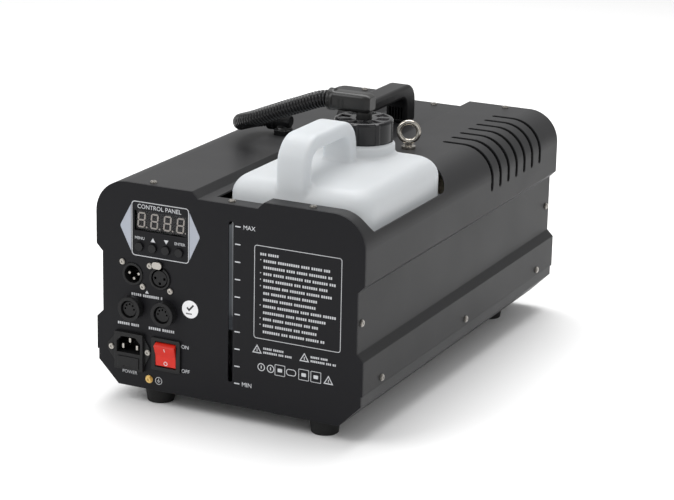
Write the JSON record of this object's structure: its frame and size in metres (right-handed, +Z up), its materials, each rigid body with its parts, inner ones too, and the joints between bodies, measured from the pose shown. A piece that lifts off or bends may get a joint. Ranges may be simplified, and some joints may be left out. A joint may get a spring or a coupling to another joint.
{
  "type": "fog machine",
  "caption": "Portable fog machine: folded steel case with a rear control panel, lift-out fluid bottle, hose, carry handle, safety eye and a heated nozzle.",
  "frame": {"origin": "on the floor, under the middle of the machine's box", "axes": "+X to the right seen from the rear panel, +Y from the rear panel to the nozzle, +Z up"},
  "size_m": [0.2638, 0.453, 0.2688],
  "materials": {
    "powder_coat": "fine satin powder coat",
    "pan_coat": "satin powder coat",
    "panel_black": "fine matt powder coat with white print",
    "zinc_steel": "zinc plated sheet",
    "mesh_black": "matt",
    "handle_black": "moulded, fine grain",
    "nickel": "nickel plated",
    "eye_chrome": "bright zinc plated, slightly worn",
    "foot_rubber": "matt",
    "window_smoke": "smoke acrylic",
    "display_black": "satin",
    "board_green": "solder mask",
    "brass": "turned",
    "switch_black": "satin",
    "socket_black": "satin moulded",
    "fuse_glass": "clear, with nickel ends",
    "switch_red": "glossy translucent",
    "switch_frame": "satin",
    "bottle_hdpe": "translucent, waxy",
    "cap_black": "glossy",
    "seal_foam": "foam",
    "hose_black": "semi-gloss nylon",
    "tube_clear": "clear silicone",
    "filter_grey": "sintered",
    "heater_alu": "cast",
    "heater_wool": "glass-wool blanket",
    "plunger_steel": "ground",
    "copper": "drawn copper"
  },
  "bodies": {
    "case": {"base_pan": "pan_coat", "cover_sleeve": "powder_coat", "rear_panel": "panel_black", "front_panel": "panel_black", "bottle_tray": "zinc_steel", "vent_mesh": "mesh_black", "carry_handle": "handle_black", "handle_screws": "nickel", "eyebolt": "eye_chrome", "eyebolt_nut": "eye_chrome", "cover_screws": "nickel", "base_screws": "nickel", "foot_rear_left": "foot_rubber", "foot_rear_right": "foot_rubber", "foot_front_left": "foot_rubber", "foot_front_right": "foot_rubber", "foot_screws": "nickel", "display_window": "window_smoke", "led_display": "display_black", "display_pcb": "board_green", "standoffs": "brass", "tact_switches": "switch_black", "xlr_male_socket": "socket_black", "xlr_pins": "nickel", "xlr_female_socket": "socket_black", "xlr_screws": "nickel", "din_socket_left": "socket_black", "din_socket_right": "socket_black", "iec_inlet": "socket_black", "iec_pins": "nickel", "iec_screws": "nickel", "switch_frame": "switch_frame", "earth_screw": "brass", "conduit": "hose_black", "conduit_gland": "hose_black", "heater_block": "heater_alu", "heater_wrap": "heater_wool", "heater_brackets": "zinc_steel", "thermostat": "nickel", "nozzle": "brass", "pump_body": "zinc_steel", "pump_spring": "plunger_steel", "suction_line": "tube_clear", "pressure_line": "copper", "main_pcb": "board_green"},
    "rocker": {"rocker": "switch_red"},
    "menu_button": {"button_menu": "switch_black"},
    "up_button": {"button_up": "switch_black"},
    "down_button": {"button_down": "switch_black"},
    "enter_button": {"button_enter": "switch_black"},
    "release_tab": {"xlr_release_tab": "nickel"},
    "fuse_tray": {"fuse_drawer": "socket_black", "fuse": "fuse_glass"},
    "bottle_unit": {"bottle": "bottle_hdpe", "hose_elbow": "hose_black", "pickup_tube": "tube_clear", "inlet_filter": "filter_grey"},
    "cap_liner": {"cap_seal": "seal_foam"},
    "cap": {"screw_cap": "cap_black"},
    "plunger": {"pump_plunger": "plunger_steel"}
  },
  "joints": [
    {"name": "rocker_tilt", "type": "hinge", "parent": "case", "child": "rocker", "pos_m": [-0.0596, -0.2155, 0.0498], "axis": [-1, 0, 0], "range_deg": [0, 22]},
    {"name": "menu_press", "type": "slide", "parent": "case", "child": "menu_button", "axis": [0, 1, 0], "range_m": [0, 0.0008], "stiffness_N_per_m": 400, "springref_m": -0.0006},
    {"name": "up_press", "type": "slide", "parent": "case", "child": "up_button", "axis": [0, 1, 0], "range_m": [0, 0.0008], "stiffness_N_per_m": 400, "springref_m": -0.0006},
    {"name": "down_press", "type": "slide", "parent": "case", "child": "down_button", "axis": [0, 1, 0], "range_m": [0, 0.0008], "stiffness_N_per_m": 400, "springref_m": -0.0006},
    {"name": "enter_press", "type": "slide", "parent": "case", "child": "enter_button", "axis": [0, 1, 0], "range_m": [0, 0.0008], "stiffness_N_per_m": 400, "springref_m": -0.0006},
    {"name": "release_press", "type": "slide", "parent": "case", "child": "release_tab", "axis": [0, 1, 0], "range_m": [0, 0.001], "stiffness_N_per_m": 400, "springref_m": -0.0008},
    {"name": "fuse_slide", "type": "slide", "parent": "case", "child": "fuse_tray", "axis": [0, -1, 0], "range_m": [0, 0.018]},
    {"name": "bottle_lift", "type": "slide", "parent": "case", "child": "bottle_unit", "axis": [0, 0, 1], "range_m": [0, 0.05], "deforming": ["conduit"]},
    {"name": "cap_rise", "type": "slide", "parent": "bottle_unit", "child": "cap_liner", "axis": [0, 0, 1], "range_m": [0, 0.0045]},
    {"name": "cap_turn", "type": "hinge", "parent": "cap_liner", "child": "cap", "pos_m": [0.054, -0.067, 0.235], "axis": [0, 0, 1], "range_deg": [0, 450]},
    {"name": "pump_stroke", "type": "slide", "parent": "case", "child": "plunger", "axis": [0, 0, 1], "range_m": [0, 0.004], "stiffness_N_per_m": 400, "springref_m": -0.004, "deforming": ["pump_spring"]}
  ],
  "couplings": [
    {"joint": "cap_rise", "follows": "cap_turn", "m_per_rad": 0.00057296}
  ]
}
